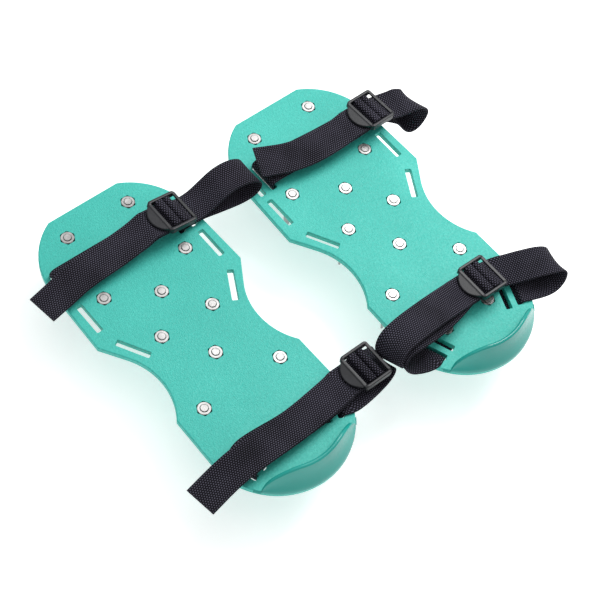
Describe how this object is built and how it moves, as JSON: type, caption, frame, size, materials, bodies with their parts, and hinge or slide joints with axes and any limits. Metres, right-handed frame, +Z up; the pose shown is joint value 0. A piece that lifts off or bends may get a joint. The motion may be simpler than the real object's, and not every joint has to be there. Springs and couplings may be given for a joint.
{
  "type": "lawn aerator sandals",
  "caption": "Pair of strap-on lawn aerator sandals: flat waisted plastic soles with a raised heel cup, steel spikes underneath, and webbing straps with ladder-lock buckles.",
  "frame": {"origin": "on the ground under the middle of the pair, at the spike tips", "axes": "+X from the left shoe to the right shoe, +Y from heels to toes, +Z up from the ground through the soles"},
  "size_m": [0.3573, 0.2888, 0.076],
  "materials": {
    "sole_plastic": "matte injection-moulded plastic with a fine leather grain, smoother on the heel cup",
    "webbing": "woven polypropylene webbing, black",
    "buckle_plastic": "moulded acetal, satin black",
    "zinc_steel": "bright zinc-plated steel"
  },
  "bodies": {
    "left_shoe": {"left_sole": "sole_plastic", "left_nuts": "zinc_steel", "left_toe_strap": "webbing", "left_heel_strap": "webbing", "left_spike_1": "zinc_steel", "left_spike_2": "zinc_steel", "left_spike_3": "zinc_steel", "left_spike_4": "zinc_steel", "left_spike_5": "zinc_steel", "left_spike_6": "zinc_steel", "left_spike_7": "zinc_steel", "left_spike_8": "zinc_steel", "left_spike_9": "zinc_steel", "left_spike_10": "zinc_steel", "left_spike_11": "zinc_steel", "left_spike_12": "zinc_steel", "left_spike_13": "zinc_steel"},
    "left_toe_ladder_lock": {"left_toe_buckle": "buckle_plastic", "left_toe_strap_turn": "webbing"},
    "left_heel_ladder_lock": {"left_heel_buckle": "buckle_plastic", "left_heel_strap_turn": "webbing"},
    "right_shoe": {"right_sole": "sole_plastic", "right_nuts": "zinc_steel", "right_toe_strap": "webbing", "right_heel_strap": "webbing", "right_spike_1": "zinc_steel", "right_spike_2": "zinc_steel", "right_spike_3": "zinc_steel", "right_spike_4": "zinc_steel", "right_spike_5": "zinc_steel", "right_spike_6": "zinc_steel", "right_spike_7": "zinc_steel", "right_spike_8": "zinc_steel", "right_spike_9": "zinc_steel", "right_spike_10": "zinc_steel", "right_spike_11": "zinc_steel", "right_spike_12": "zinc_steel", "right_spike_13": "zinc_steel"},
    "right_toe_ladder_lock": {"right_toe_buckle": "buckle_plastic", "right_toe_strap_turn": "webbing"},
    "right_heel_ladder_lock": {"right_heel_buckle": "buckle_plastic", "right_heel_strap_turn": "webbing"}
  },
  "joints": [
    {"name": "right_shoe_apart", "type": "slide", "parent": "left_shoe", "child": "right_shoe", "axis": [1, 0, 0], "range_m": [0, 0.25]},
    {"name": "left_toe_tilt", "type": "hinge", "parent": "left_shoe", "child": "left_toe_ladder_lock", "pos_m": [-0.0503, 0.0915, 0.064], "axis": [0, 1, 0], "range_deg": [0, 30]},
    {"name": "right_toe_tilt", "type": "hinge", "parent": "right_shoe", "child": "right_toe_ladder_lock", "pos_m": [0.1347, 0.0785, 0.064], "axis": [-0.0523, 0.9986, 0], "range_deg": [0, 30]},
    {"name": "left_heel_tilt", "type": "hinge", "parent": "left_shoe", "child": "left_heel_ladder_lock", "pos_m": [-0.0168, -0.0885, 0.059], "axis": [0, 1, 0], "range_deg": [0, 30]},
    {"name": "right_heel_tilt", "type": "hinge", "parent": "right_shoe", "child": "right_heel_ladder_lock", "pos_m": [0.1007, -0.0855, 0.063], "axis": [0, 1, 0], "range_deg": [0, 30]}
  ]
}
